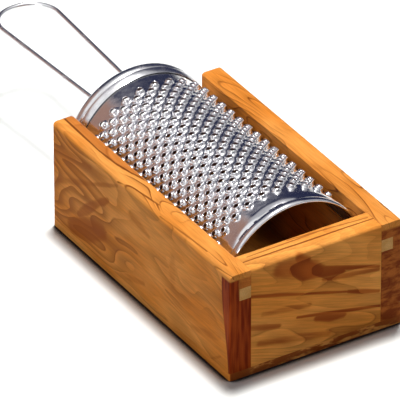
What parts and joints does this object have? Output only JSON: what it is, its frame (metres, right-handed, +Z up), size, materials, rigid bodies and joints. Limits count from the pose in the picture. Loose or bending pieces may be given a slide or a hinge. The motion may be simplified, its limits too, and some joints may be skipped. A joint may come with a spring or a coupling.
{
  "type": "cheese grater",
  "caption": "Half-round punched steel grater with a wire-loop handle that slides into the grooved top of a wooden catch box.",
  "frame": {"origin": "centre of the box's underside", "axes": "+Z up; +Y along the box towards the handle; +X to the right seen from the closed front"},
  "size_m": [0.09, 0.2602, 0.0689],
  "materials": {
    "olive_wood_side": "oiled olive wood, satin",
    "olive_wood_end": "oiled olive wood, satin",
    "olive_wood_board": "oiled olive wood, satin",
    "pale_wood": "end grain, satin",
    "dowel_wood": "unfinished beech",
    "polished_sheet": "polished stainless steel",
    "polished_rim": "polished stainless steel",
    "steel_wire": "drawn stainless wire, bright"
  },
  "bodies": {
    "catch_box": {"bottom_board": "olive_wood_board", "side_wall_left": "olive_wood_side", "side_wall_right": "olive_wood_side", "front_panel": "olive_wood_end", "back_panel": "olive_wood_end", "groove_plug_left": "pale_wood", "groove_plug_right": "pale_wood", "dowel_front_left_low": "dowel_wood", "dowel_front_left_high": "dowel_wood", "dowel_front_right_low": "dowel_wood", "dowel_front_right_high": "dowel_wood", "dowel_back_left_low": "dowel_wood", "dowel_back_left_high": "dowel_wood", "dowel_back_right_low": "dowel_wood", "dowel_back_right_high": "dowel_wood"},
    "grater": {"grater_sheet": "polished_sheet", "front_rim": "polished_rim", "back_rim": "polished_rim", "frame_wire": "steel_wire"}
  },
  "joints": [
    {"name": "grater_slide", "type": "slide", "parent": "catch_box", "child": "grater", "axis": [0, 1, 0], "range_m": [0, 0.14]}
  ]
}
